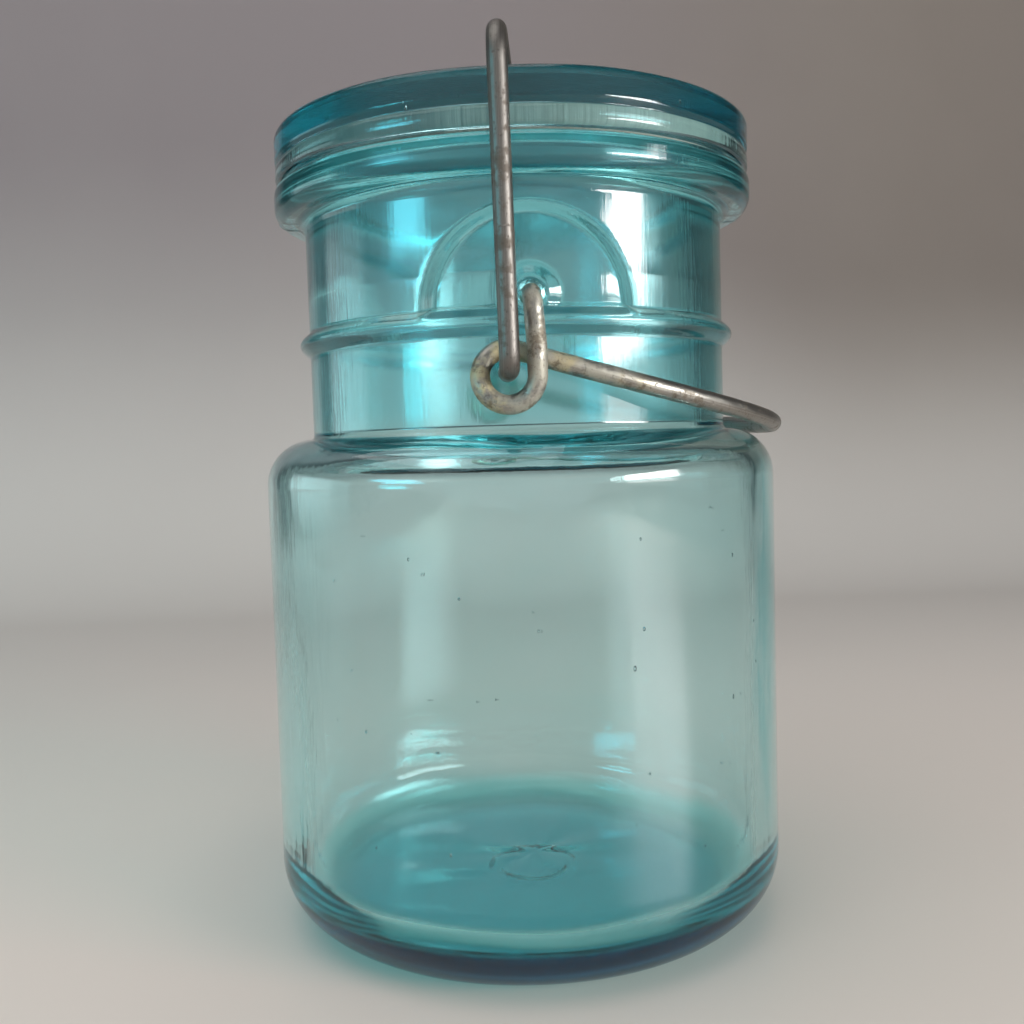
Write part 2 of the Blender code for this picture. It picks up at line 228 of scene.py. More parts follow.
def ring_angles(count, crowds):
    """Angles of one turn, spread so that their density is one plus a bell curve for each crowd.

    A crowd is (angle in degrees, half width in degrees, extra density).
    """
    fine = np.linspace(0.0, 2.0 * np.pi, TURN_SAMPLES)
    density = np.ones_like(fine)
    for place, width, extra in crowds:
        away = np.abs((fine - math.radians(place) + np.pi) % (2.0 * np.pi) - np.pi)
        density += extra * np.exp(-((away / math.radians(width)) ** 2))
    total = np.concatenate(([0.0], np.cumsum(0.5 * (density[1:] + density[:-1]))))
    return np.interp(np.arange(count) / count, total / total[-1], fine)


def ripple(angles, heights, seed, turns, rate, count=14):
    """A sum of sine waves in the angle and the height, about one in size.

    Each wave has a whole number of turns up to the limit, a rate per millimetre of height and a phase.
    """
    draw = np.random.default_rng(seed)
    spin = draw.integers(1, turns + 1, count)[:, None, None]
    climb = draw.uniform(-rate, rate, count)[:, None, None]
    phase = draw.uniform(0.0, 2.0 * np.pi, count)[:, None, None]
    waves = np.sin(spin * angles[None, None, :] + climb * heights[None, :, None] + phase)
    return waves.sum(axis=0) / math.sqrt(count)


def turned_grid(profile, angles):
    """Points whose X and Y are the profile's radius times cosine and sine of the angle."""
    radius = profile[:, :1]
    height = np.broadcast_to(profile[:, 1:], (len(profile), len(angles)))
    return np.stack((radius * np.cos(angles), radius * np.sin(angles), height), axis=-1)


def profile_normals(profile):
    """The profile's slope by differences, turned a quarter turn to point out of the glass."""
    slope = np.gradient(profile, axis=0)
    normal = np.column_stack((slope[:, 1], -slope[:, 0]))
    return normal / np.maximum(np.linalg.norm(normal, axis=1, keepdims=True), 1e-9)


def wave_heights(profile, axis):
    """The profile's heights, shifted where its normal points back along one of its two axes."""
    back = profile_normals(profile)[:, axis] < BACK_LIMIT
    return profile[:, 1] + np.where(back, BACK_SHIFT, 0.0)


def swell(grid, profile, angles, amount):
    """Moves each point of a turned grid along the profile's normal by an amount."""
    normal = profile_normals(profile)
    grid[..., 0] += amount * normal[:, :1] * np.cos(angles)
    grid[..., 1] += amount * normal[:, :1] * np.sin(angles)
    grid[..., 2] += amount * normal[:, 1:]
    return grid


def capped_faces(rings, steps):
    """Faces of a skin from pole to pole: point 0, then the rings in turn, then the last point."""
    ring = 1 + np.arange(rings)[:, None] * steps + np.arange(steps)
    ahead = np.roll(ring, -1, axis=1)
    quads = np.stack((ring[:-1], ahead[:-1], ahead[1:], ring[1:]), axis=-1).reshape(-1, 4)
    first = np.stack((np.zeros(steps, int), ahead[0], ring[0]), axis=-1)
    last = np.stack((ring[-1], ahead[-1], np.full(steps, rings * steps + 1)), axis=-1)
    return quads.tolist() + first.tolist() + last.tolist()


def capped_points(grid):
    """The grid's points with its first and last rows drawn together to one pole each."""
    return np.concatenate((grid[:1, 0], grid[1:-1].reshape(-1, 3), grid[-1:, 0]))


def smooth_object(name, points, faces, finish):
    """An object with a smooth mesh of points in millimetres and one finish."""
    mesh = bpy.data.meshes.new(name)
    mesh.from_pydata((points * MM).tolist(), [], faces)
    mesh.shade_smooth()
    mesh.materials.append(finish)
    made = bpy.data.objects.new(name, mesh)
    bpy.context.scene.collection.objects.link(made)
    return made


def piece(name, points, faces, finish, body, replaced=()):
    """A smooth object that rides on a body, has a material slot and may replace CAD nodes."""
    made = smooth_object(name, points, faces, finish)
    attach(made, body)
    if replaced:
        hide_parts(*replaced)
    return made


def point_values(made, name, values):
    """Stores one named number for each point of a capped skin, from a grid of rows and columns."""
    flat = np.concatenate((values[0, :1], values[1:-1].ravel(), values[-1, :1])).astype(np.float32)
    made.data.attributes.new(name, "FLOAT", "POINT").data.foreach_set("value", flat)


def jar_stretches():
    """The jar's outline from the middle of its base, up the outside and down the inside to the floor."""
    heel = (BODY_RADIUS - HEEL_RADIUS, HEEL_RADIUS)
    shoulder = (BODY_RADIUS - SHOULDER_RADIUS, SHOULDER_HEIGHT - SHOULDER_RADIUS)
    cove = (NECK_RADIUS + LIP_COVE, LIP_BOTTOM - LIP_COVE)
    lip_low = (LIP_RADIUS - LIP_LOWER_ROUND, LIP_BOTTOM + LIP_LOWER_ROUND)
    lip_high = (LIP_RADIUS - LIP_UPPER_ROUND, LIP_TOP - LIP_UPPER_ROUND)
    throat = (NECK_INNER_RADIUS + THROAT_RADIUS, SHOULDER_HEIGHT)
    inner_wall = BODY_RADIUS - BODY_WALL
    inner_heel = (inner_wall - INNER_HEEL_RADIUS, FLOOR_HEIGHT + INNER_HEEL_RADIUS)
    mouth_high = (MOUTH_RADIUS, LIP_TOP - MOUTH_ROUND)
    mouth_low = (MOUTH_RADIUS, LIP_TOP - MOUTH_DEPTH)
    flare_low = (NECK_INNER_RADIUS, mouth_low[1] - MOUTH_FLARE)
    mark_r = VALVE_MARK_RADIUS + VALVE_MARK_HALF_WIDTH * np.linspace(-1.0, 1.0, 11)
    mark_z = VALVE_MARK_DEPTH * np.sin(np.linspace(0.0, np.pi, 11)) ** 2
    fine_low = BEAD_HEIGHT - BEAD_HALF_WIDTH - FINE_BELOW_BEAD
    fine_high = PIVOT_HEIGHT + FINE_ABOVE_PIVOT
    neck_z = np.concatenate((
        np.arange(SHOULDER_HEIGHT + NECK_FOOT_FILLET, fine_low, NECK_STEP_LOW),
        np.arange(fine_low, fine_high, NECK_STEP_FINE),
        np.arange(fine_high, LIP_BOTTOM - LIP_COVE, NECK_STEP_HIGH),
    ))
    floor_share = np.linspace(1.0, 0.0, 14)[1:]
    floor_z = FLOOR_HEIGHT + FLOOR_CROWN * (1.0 - floor_share**2)
    return {
        "foot": np.concatenate((
            run((0.0, 0.0), (mark_r[0], 0.0), 5),
            np.column_stack((mark_r, mark_z)),
            run((mark_r[-1], 0.0), (heel[0], 0.0), 8)[1:],
        )),
        "heel": arc(heel, HEEL_RADIUS, -90, 0, 16),
        "wall": run((BODY_RADIUS, HEEL_RADIUS), (BODY_RADIUS, shoulder[1]), 30)[1:],
        "shoulder": arc(shoulder, SHOULDER_RADIUS, 0, 90, 16),
        "neck": np.column_stack((np.full_like(neck_z, NECK_RADIUS), neck_z)),
        "cove": arc(cove, LIP_COVE, 180, 90, 8),
        "lip": np.concatenate((
            arc(lip_low, LIP_LOWER_ROUND, -90, 0, 10),
            run((LIP_RADIUS, lip_low[1]), (LIP_RADIUS, lip_high[1]), 6)[1:],
            arc(lip_high, LIP_UPPER_ROUND, 0, 90, 8),
            run((lip_high[0], LIP_TOP), (MOUTH_RADIUS + MOUTH_ROUND, LIP_TOP), 8)[1:],
        )),
        "mouth": np.concatenate((
            arc((MOUTH_RADIUS + MOUTH_ROUND, LIP_TOP - MOUTH_ROUND), MOUTH_ROUND, 90, 180, 6),
            run(mouth_high, mouth_low, 6)[1:],
            run(mouth_low, flare_low, 4),
        )),
        "inner_neck": run(flare_low, (NECK_INNER_RADIUS, SHOULDER_HEIGHT), 24),
        "throat": arc(throat, THROAT_RADIUS, 180, 270, 9),
        "inner_shoulder": arc(shoulder, SHOULDER_RADIUS - BODY_WALL, 90, 0, 11),
        "inner_wall": run((inner_wall, shoulder[1]), (inner_wall, inner_heel[1]), 30)[1:],
        "inner_heel": arc(inner_heel, INNER_HEEL_RADIUS, 0, -90, 12),
        "floor": np.column_stack((inner_heel[0] * floor_share, floor_z)),
    }


# How far the glass wanders from its true outline, in millimetres, on each stretch of the jar
JAR_WANDER = {
    "heel": 0.05, "wall": 0.07, "shoulder": 0.06, "neck": 0.05, "cove": 0.03, "lip": 0.04, "inner_neck": 0.2,
    "throat": 0.16, "inner_shoulder": 0.20, "inner_wall": 0.24, "inner_heel": 0.20, "floor": 0.14,
}
SEAMED = ("heel", "wall", "shoulder", "neck", "cove", "lip")

# Heights between which the outer heel's painted shade, a dark band for the shadow under the heel, comes in
# and goes out again
HEEL_PAINTED_SHADE_FROM = (0.4, 1.2)
HEEL_PAINTED_SHADE_TO = (9.6, 7.6)

# Share of the frost on the stretches that are dull: the scuffed heel, and the mouth and neck inside
JAR_FROST = {"heel": 0.4, "mouth": 0.3, "inner_neck": 0.4}

# Rows on each side of a row that its eased value is averaged with
EASE_ROWS = 4


def stretch_rows(stretches, values):
    """One value for each row of the outline: the one given for its stretch, or else zero."""
    rows = [np.full(len(points), values.get(name, 0.0)) for name, points in stretches.items()]
    return np.concatenate(rows)[:, None]


def eased_rows(stretches, values):
    """The rows' values, each averaged with its neighbours so that they change gently."""
    padded = np.pad(stretch_rows(stretches, values)[:, 0], EASE_ROWS, mode="edge")
    window = 2 * EASE_ROWS + 1
    return np.convolve(padded, np.full(window, 1.0 / window), mode="valid")[:, None]


def add_bead(grid, outer_neck):
    """Pushes the neck out by a rounded ridge: a power of one minus the squared share from its middle."""
    share = np.clip(np.abs(grid[..., 2] - BEAD_HEIGHT) / BEAD_HALF_WIDTH, 0.0, 1.0)
    ridge = outer_neck * BEAD_RISE * (1.0 - share**2) ** BEAD_POWER
    radius = np.maximum(np.hypot(grid[..., 0], grid[..., 1]), 1e-6)
    grid[..., :2] *= (1.0 + ridge / radius)[..., None]
    return grid


def add_bosses(grid, outer_neck):
    """Pulls the neck out along Y to a crowned half disc with flared sides, and sinks a socket in it.

    The crest falls with the square of the distance from the disc's centre and leans out with height.
    The disc fades over its side run and over its foot. The socket is a pit with a short rounded edge
    and a low rim that eases down to the disc.
    """
    x, y, z = grid[..., 0], grid[..., 1], grid[..., 2]
    depth = np.abs(y)
    reach = np.hypot(x, np.maximum(z - BOSS_CENTRE_HEIGHT, 0.0))
    from_pin = np.hypot(x, z - PIVOT_HEIGHT)
    lean = math.tan(math.radians(BOSS_TILT_DEG)) * (z - BOSS_TILT_HEIGHT)
    rim = SOCKET_RIM_HEIGHT * (1.0 - smooth_step(SOCKET_RADIUS + SOCKET_EDGE, SOCKET_RIM_RADIUS, from_pin))
    crest = BOSS_CREST - BOSS_CROWN * (reach / BOSS_RADIUS) ** 2 + lean + rim
    side = 1.0 - smooth_step(BOSS_RADIUS - BOSS_SIDE_LEAD, BOSS_RADIUS + BOSS_SIDE_RUN, reach)
    foot = smooth_step(BOSS_FOOT_LOW, BOSS_FOOT_HIGH, z)
    lifted = depth + outer_neck * side * foot * np.maximum(crest - depth, 0.0)
    pit = 1.0 - smooth_step(SOCKET_RADIUS - SOCKET_EDGE, SOCKET_RADIUS + SOCKET_EDGE, from_pin)
    sunk = lifted - outer_neck * pit * (SOCKET_DEPTH + SOCKET_RIM_HEIGHT) * (depth > 0.5 * NECK_RADIUS)
    grid[..., 1] = np.sign(y) * sunk
    return grid


def jar_glass(finish):
    """The jar's outline turned about Z, with wandering walls, seams, bead, bosses and sockets.

    A seam is a bell curve across Y. A value named frost dulls the skin, and heel is its painted shade: a dark
    band for the shadow under the heel.
    """
    stretches = jar_stretches()
    profile = np.concatenate(list(stretches.values()))
    height = profile[:, 1:]
    crowds = [(side, *crowd) for crowd in (BOSS_CROWD, SOCKET_CROWD) for side in (90, 270)]
    crowds += [(side, *SEAM_CROWD) for side in (0, 180)]
    angles = ring_angles(JAR_COLUMNS, crowds)
    grid = turned_grid(profile, angles)
    outer_neck = stretch_rows(stretches, {"neck": 1.0})
    seamed = eased_rows(stretches, dict.fromkeys(SEAMED, 1.0)) * smooth_step(*SEAM_FADE, height)
    seam = SEAM_HEIGHT * seamed * np.exp(-((grid[..., 1] / SEAM_HALF_WIDTH) ** 2))
    waves = eased_rows(stretches, JAR_WANDER) * ripple(angles, wave_heights(profile, 0), **JAR_RIPPLE)
    grid = swell(grid, profile, angles, waves + seam)
    grid = add_bosses(grid, outer_neck)
    grid = add_bead(grid, outer_neck)
    faces = capped_faces(len(profile) - 2, len(angles))
    made = piece("jar_glass_wall", capped_points(grid), faces, finish, "jar", ["jar_body"])
    frost = eased_rows(stretches, JAR_FROST)
    point_values(made, "frost", np.repeat(frost, len(angles), axis=1))
    outer_heel = stretch_rows(stretches, {"heel": 1.0})
    # The heel value marks painted shade: the outer heel is darkened to stand for the shadow under it
    dark = outer_heel * smooth_step(*HEEL_PAINTED_SHADE_FROM, height) * smooth_step(*HEEL_PAINTED_SHADE_TO, height)
    point_values(made, "heel", np.repeat(dark, len(angles), axis=1))
    return made


def lid_profile():
    """The lid's outline from the middle of its underside, out round the plug and rim to the hump's top."""
    hollow_edge = PLUG_RADIUS - PLUG_RIM_WIDTH
    hollow_r = np.linspace(0.0, hollow_edge, 22)
    hollow_z = PLUG_BOTTOM + (UNDERSIDE_CROWN - PLUG_BOTTOM) * (1.0 - (hollow_r / hollow_edge) ** 2)
    seat_foot = (RING_SEAT_OUTER, LID_SKIRT_BOTTOM + SEAT_CHAMFER)
    skirt_foot = (RING_SEAT_OUTER + SEAT_CHAMFER, LID_SKIRT_BOTTOM)
    rim_r = LID_RADIUS - LID_EDGE_ROUND
    low_z = LID_SKIRT_BOTTOM + LID_EDGE_ROUND
    high_z = LID_TOP - LID_EDGE_ROUND
    face_z = np.linspace(low_z, high_z, 26)[1:-1]
    groove = np.exp(-(((face_z - LID_GROOVE_HEIGHT) / LID_GROOVE_HALF_WIDTH) ** 2))
    face_r = LID_RADIUS - LID_GROOVE_DEPTH * groove
    foot = HUMP_FOOT_HEIGHT - LID_DISH_HEIGHT
    climb = np.radians(np.linspace(90.0, 0.0, 26))
    hump_r = HUMP_FLAT_RADIUS + (HUMP_RADIUS - HUMP_FLAT_RADIUS) * np.sin(climb)
    hump_z = HUMP_FOOT_HEIGHT + (HUMP_TOP - HUMP_FOOT_HEIGHT) * np.cos(climb)
    crown_r = np.linspace(HUMP_FLAT_RADIUS, 0.0, 16)[1:]
    return np.concatenate((
        np.column_stack((hollow_r, hollow_z)),
        run((hollow_edge, PLUG_BOTTOM), (PLUG_RADIUS - PLUG_ROUND, PLUG_BOTTOM), 5)[1:],
        arc((PLUG_RADIUS - PLUG_ROUND, PLUG_BOTTOM + PLUG_ROUND), PLUG_ROUND, -90, 0, 7),
        run((PLUG_RADIUS, PLUG_BOTTOM + PLUG_ROUND), (PLUG_RADIUS, PLUG_SHOULDER), 6)[1:],
        run((PLUG_RADIUS, PLUG_SHOULDER), (RING_SEAT_INNER, RING_SEAT_HEIGHT), 5),
        run((RING_SEAT_INNER, RING_SEAT_HEIGHT), (RING_SEAT_OUTER, RING_SEAT_HEIGHT), 9),
        run((RING_SEAT_OUTER, RING_SEAT_HEIGHT), seat_foot, 7),
        run(seat_foot, skirt_foot, 3),
        run(skirt_foot, (rim_r, LID_SKIRT_BOTTOM), 3),
        arc((rim_r, low_z), LID_EDGE_ROUND, -90, 0, 8),
        np.column_stack((face_r, face_z)),
        arc((rim_r, high_z), LID_EDGE_ROUND, 0, 90, 8),
        run((rim_r, LID_TOP), (LID_RIM_INNER, LID_TOP), 6)[1:],
        run((LID_RIM_INNER, LID_TOP), (LID_DISH_RADIUS, LID_DISH_HEIGHT), 6),
        run((LID_DISH_RADIUS, LID_DISH_HEIGHT), (HUMP_RADIUS + foot, LID_DISH_HEIGHT), 18),
        arc((HUMP_RADIUS + foot, HUMP_FOOT_HEIGHT), foot, 270, 180, 8)[:-1],
        np.column_stack((hump_r, hump_z)),
        np.column_stack((crown_r, np.full_like(crown_r, HUMP_TOP))),
    ))


def lid_glass(finish):
    """The lid's outline turned about Z, wandering a little, with the bail's trough pressed across the hump.

    The trough is a half circle below its centre line and flares above it; the top is the lower of the two.
    """
    profile = lid_profile()
    angles = ring_angles(LID_COLUMNS, ())
    grid = turned_grid(profile, angles)
    wander = LID_WANDER * smooth_step(0.0, LID_WANDER_FADE, profile[:, :1])
    grid = swell(grid, profile, angles, wander * ripple(angles, wave_heights(profile, 1), **LID_RIPPLE))
    skew = math.atan2(BAIL_SKEW_X, BAIL_REACH)
    across = np.abs(grid[..., 0] * math.cos(skew) - grid[..., 1] * math.sin(skew))
    dip = np.sqrt(np.maximum(GROOVE_HALF_WIDTH**2 - across**2, 0.0))
    flare = GROOVE_FLARE_RISE * np.maximum(across - GROOVE_HALF_WIDTH, 0.0) / GROOVE_FLARE
    trough = GROOVE_CENTRE_HEIGHT - dip + flare
    above_dish = profile[:, 1:] > LID_DISH_HEIGHT + HUMP_FOOT_MARGIN
    on_hump = above_dish & (profile[:, :1] < HUMP_RADIUS + HUMP_SIDE_MARGIN)
    grid[..., 2] = np.where(on_hump, np.minimum(grid[..., 2], trough), grid[..., 2])
    faces = capped_faces(len(profile) - 2, len(angles))
    made = piece("lid_glass_disc", capped_points(grid), faces, finish, "lid", ["lid"])
    frost = (profile[:, :1] < PLUG_RADIUS + LID_FROST_MARGIN) & (profile[:, 1:] < RING_SEAT_HEIGHT)
    point_values(made, "frost", np.repeat(frost, len(angles), axis=1))
    return made


def sealing_ring(finish):
    """A rounded oblong section turned about Z: both ways round the grid close on themselves."""
    corners = (
        (RING_OUTER - RING_ROUND, RING_BOTTOM + RING_ROUND, -90, 0),
        (RING_OUTER - RING_ROUND, RING_TOP - RING_ROUND, 0, 90),
        (RING_INNER + RING_ROUND, RING_TOP - RING_ROUND, 90, 180),
        (RING_INNER + RING_ROUND, RING_BOTTOM + RING_ROUND, 180, 270),
    )
    profile = np.concatenate([arc((r, z), RING_ROUND, start, end, 7) for r, z, start, end in corners])
    angles = ring_angles(RING_COLUMNS, ())
    grid = turned_grid(profile, angles)
    index = np.arange(grid.shape[0] * grid.shape[1]).reshape(grid.shape[:2])
    ahead = np.roll(index, -1, axis=1)
    above = np.roll(index, -1, axis=0)
    faces = np.stack((index, ahead, np.roll(ahead, -1, axis=0), above), axis=-1).reshape(-1, 4).tolist()
    return piece("rubber_ring", grid.reshape(-1, 3), faces, finish, "jar", ["sealing_ring"])


def filleted(points, radii, steps=12):
    """A polyline with each inner corner replaced by an arc of its own radius.

    The arc mixes the two tangent points by the sines of its angle's shares, about the arc's centre.
    """
    points = [np.array(point, float) for point in points]
    path = [points[:1]]
    for before, corner, after, radius in zip(points, points[1:], points[2:], radii):
        back = (before - corner) / np.linalg.norm(before - corner)
        ahead = (after - corner) / np.linalg.norm(after - corner)
        half = math.acos(np.clip(back @ ahead, -1.0, 1.0)) / 2.0
        middle = corner + (back + ahead) / np.linalg.norm(back + ahead) * radius / math.sin(half)
        first = corner + back * radius / math.tan(half) - middle
        last = corner + ahead * radius / math.tan(half) - middle
        sweep = math.pi - 2.0 * half
        share = np.linspace(0.0, 1.0, steps)[:, None]
        mixed = np.sin((1.0 - share) * sweep) * first + np.sin(share * sweep) * last
        path.append(middle + mixed / math.sin(sweep))
    path.append(points[-1:])
    return np.concatenate(path)


def even_path(path):
    """The path read again at even steps of its own length."""
    steps = np.linalg.norm(np.diff(path, axis=0), axis=1)
    length = np.concatenate(([0.0], np.cumsum(steps)))
    places = np.linspace(0.0, length[-1], int(length[-1] / WIRE_STEP) + 1)
    return np.column_stack([np.interp(places, length, path[:, axis]) for axis in range(3)])


def lever_path():
    """Socket pin, hooked limb, one turn of eye and half the yoke, then the same mirrored across Y = 0.

    The eye is a helix that steps inwards. The yoke is a quarter ellipse in plan whose height eases
    from the arm's slope to the apex by a parabola.
    """
    limb_x = EYE_X + EYE_RADIUS
    hook = filleted(
        [
            (0.0, -PIN_END, PIVOT_HEIGHT),
            (0.0, -LIMB_REACH, PIVOT_HEIGHT),
            (limb_x, -LIMB_REACH, EYE_HEIGHT + EYE_RADIUS),
            (limb_x, -LIMB_REACH, EYE_HEIGHT),
        ],
        (HOOK_BEND, EYE_RADIUS),
    )
    share = np.linspace(0.0, 1.0, EYE_POINTS)[1:]
    turn = np.radians(270.0 + ARM_SLOPE_DEG) * share
    eye = np.column_stack((
        EYE_X + EYE_RADIUS * np.cos(turn),
        -LIMB_REACH + (LIMB_REACH - ARM_REACH) * share,
        EYE_HEIGHT - EYE_RADIUS * np.sin(turn),
    ))
    slope = math.tan(math.radians(ARM_SLOPE_DEG))
    span = YOKE_APEX_X - eye[-1, 0]
    ease = (YOKE_APEX_HEIGHT - eye[-1, 2] + slope * span) / span**2
    swing = np.radians(np.linspace(0.0, 90.0, YOKE_POINTS))
    x = YOKE_START_X + (YOKE_APEX_X - YOKE_START_X) * np.sin(swing)
    along = x - eye[-1, 0]
    yoke = np.column_stack((x, -ARM_REACH * np.cos(swing), eye[-1, 2] - slope * along + ease * along**2))
    half = np.concatenate((hook, eye, yoke))
    return even_path(np.concatenate((half, half[-2::-1] * (1.0, -1.0, 1.0))))


def bail_path():
    """Pin in the near eye, leg, arched crown over the lid, far leg and pin in the far eye.

    The crown is a parabola, and each leg's corner lies on the parabola's end slope.
    """
    crown_half = BAIL_REACH - 2.0 * BAIL_BEND
    rise = BAIL_CROWN_HEIGHT - BAIL_SHOULDER_HEIGHT
    corner_z = BAIL_SHOULDER_HEIGHT - 2.0 * rise / crown_half * (BAIL_REACH - crown_half)
    ends = []
    for side in (-1.0, 1.0):
        crown_end = (side * BAIL_SKEW_X * crown_half / BAIL_REACH, side * crown_half, BAIL_SHOULDER_HEIGHT)
        ends.append(filleted(
            [
                (EYE_X, side * BAIL_PIN_END, BAIL_PIN_HEIGHT),
                (EYE_X, side * BAIL_REACH, BAIL_PIN_HEIGHT),
                (side * BAIL_SKEW_X, side * BAIL_REACH, corner_z),
                crown_end,
            ],
            (HOOK_BEND, BAIL_BEND),
        ))
    y = np.linspace(-crown_half, crown_half, CROWN_POINTS)
    z = BAIL_SHOULDER_HEIGHT + rise * (1.0 - (y / crown_half) ** 2)
    crown = np.column_stack((BAIL_SKEW_X * y / BAIL_REACH, y, z))
    return even_path(np.concatenate((ends[0][:-1], crown, ends[1][-2::-1])))


def path_normals(path):
    """Two normals carried along a path with the least turning, from its tangents by differences."""
    tangent = np.gradient(path, axis=0)
    tangent /= np.linalg.norm(tangent, axis=1, keepdims=True)
    carried = [np.cross(tangent[0], (1.0, 0.0, 0.0))]
    for ahead in tangent[1:]:
        flat = carried[-1] - ahead * (carried[-1] @ ahead)
        carried.append(flat / np.linalg.norm(flat))
    normal = np.array(carried)
    return normal, np.cross(tangent, normal)


def wire(name, path, finish, body, slot, node, seed, lumps):
    """A circle carried along a path, with domed ends and a skin of small lumps.

    The radius shrinks over the last rows as the square root of one minus the square of the share.
    A value named along holds each point's share of the wire's length, and around the sine of its angle.
    """
    normal, side = path_normals(path)
    steps = np.arange(len(path))
    from_end = np.minimum(steps, len(path) - 1 - steps) * WIRE_STEP
    dome = np.sqrt(1.0 - np.clip(1.0 - from_end / WIRE_RADIUS, 0.0, 1.0) ** 2)
    angles = np.linspace(0.0, 2.0 * np.pi, WIRE_SIDES, endpoint=False)
    lumpy = lumps * ripple(angles, steps * WIRE_STEP, seed, **WIRE_RIPPLE)
    radius = (WIRE_RADIUS + lumpy - lumps) * dome[:, None]
    circle = np.cos(angles)[None, :, None] * normal[:, None] + np.sin(angles)[None, :, None] * side[:, None]
    grid = path[:, None] + radius[..., None] * circle
    faces = capped_faces(len(path) - 2, WIRE_SIDES)
    made = piece(name, capped_points(grid), faces, finish, body, [node])
    point_values(made, "along", np.repeat(steps[:, None] / (len(path) - 1), WIRE_SIDES, axis=1))
    point_values(made, "around", np.repeat(np.sin(angles)[None], len(path), axis=0))
    return made


def seed_bubbles(name, places, finish, body):
    """Small egg shapes: a ball of rings scaled by its own three half sizes and moved to its place."""
    polar = np.linspace(-0.5 * np.pi, 0.5 * np.pi, SEED_RINGS)
    angles = np.linspace(0.0, 2.0 * np.pi, SEED_SIDES, endpoint=False)
    shape = capped_points(turned_grid(np.column_stack((np.cos(polar), np.sin(polar))), angles))
    middles, sizes = places
    points = (middles[:, None] + sizes[:, None] * shape[None]).reshape(-1, 3)
    single = capped_faces(SEED_RINGS - 2, SEED_SIDES)
    faces = [[corner + len(shape) * k for corner in face] for k in range(len(middles)) for face in single]
    return piece(name, points, faces, finish, body)


def wall_seeds(seed, count, radii, heights, sizes):
    """Random places in a ring of glass, with half sizes drawn out along Z."""
    draw = np.random.default_rng(seed)
    angle = draw.uniform(0.0, 2.0 * np.pi, count)
    radius = draw.uniform(*radii, count)
    height = draw.uniform(*heights, count)
    size = draw.uniform(*sizes, count)
    middles = np.column_stack((radius * np.cos(angle), radius * np.sin(angle), height))
    return middles, np.column_stack((size, size, size * draw.uniform(*SEED_STRETCH, count)))


def node_group(name, inputs, outputs):
    """An empty shader group that takes a position and named values and puts out named values.

    Its input and output nodes come with it.
    """
    group = bpy.data.node_groups.new(name, "ShaderNodeTree")
    group.interface.new_socket("Position", in_out="INPUT", socket_type="NodeSocketVector")
    for way, labels in (("INPUT", inputs), ("OUTPUT", outputs)):
        for label in labels:
            group.interface.new_socket(label, in_out=way, socket_type="NodeSocketFloat")
    return group, group.nodes.new("NodeGroupInput"), group.nodes.new("NodeGroupOutput")


class Net:
    """A node tree with short calls that add a node, set its sockets and link what feeds them."""

    def __init__(self, tree):
        self.tree = tree

    def add(self, kind, inputs=None, **settings):
        """A new node with its settings, and its inputs linked to a socket or set to a value."""
        node = self.tree.nodes.new(kind)
        for key, value in settings.items():
            setattr(node, key, value)
        for key, value in (inputs or {}).items():
            if isinstance(value, bpy.types.NodeSocket):
                self.tree.links.new(value, node.inputs[key])
            else:
                node.inputs[key].default_value = value
        return node

    def feed(self, node, sockets):
        """Links each named input of a node to the socket that feeds it."""
        for key, value in sockets.items():
            self.tree.links.new(value, node.inputs[key])

    def place(self):
        """A point's place in the frame, in metres."""
        return self.add("ShaderNodeTexCoord").outputs["Object"]

    def point_value(self, name):
        """A number that the mesh stores for its points."""
        return self.add("ShaderNodeAttribute", attribute_name=name).outputs["Fac"]

    def noise(self, vector, scale, detail=3.0, roughness=0.55):
        """Soft noise with a number of features to the metre."""
        sockets = {"Vector": vector, "Scale": scale, "Detail": detail, "Roughness": roughness}
        return self.add("ShaderNodeTexNoise", sockets).outputs["Fac"]

    def spread(self, value, low, high, to_low=0.0, to_high=1.0):
        """A smooth step from one value to another while the first goes from low to high."""
        sockets = {"Value": value, "From Min": low, "From Max": high, "To Min": to_low, "To Max": to_high}
        return self.add("ShaderNodeMapRange", sockets, interpolation_type="SMOOTHSTEP").outputs["Result"]

    def between(self, value, ends, to_low=0.0, to_high=1.0):
        """The same step between two places in millimetres."""
        return self.spread(value, ends[0] * MM, ends[1] * MM, to_low, to_high)

    def math(self, operation, first, second, third=0.0):
        return self.add("ShaderNodeMath", {0: first, 1: second, 2: third}, operation=operation).outputs[0]

    def blend(self, share, first, second):
        """A colour between two others."""
        return self.add("ShaderNodeMix", {0: share, 6: first, 7: second}, data_type="RGBA").outputs[2]

    def drawn(self, vector, rate):
        """A position that changes more slowly along Z, so that a pattern on it is drawn out upright."""
        return self.add("ShaderNodeMapping", {"Vector": vector, "Scale": (1.0, 1.0, rate)}).outputs["Vector"]

    def group(self, tree, inputs):
        """The outputs of a shared group that is placed here with its own inputs."""
        return self.add("ShaderNodeGroup", inputs, node_tree=tree).outputs

    def bump(self, height, strength, depth):
        """A normal from a height, with its depth in millimetres."""
        sockets = {"Height": height, "Strength": strength, "Distance": depth * MM}
        return self.add("ShaderNodeBump", sockets).outputs["Normal"]


# Depth of pressed glass's fine ripples beside its slow waves
FINE_DEPTH = 0.16


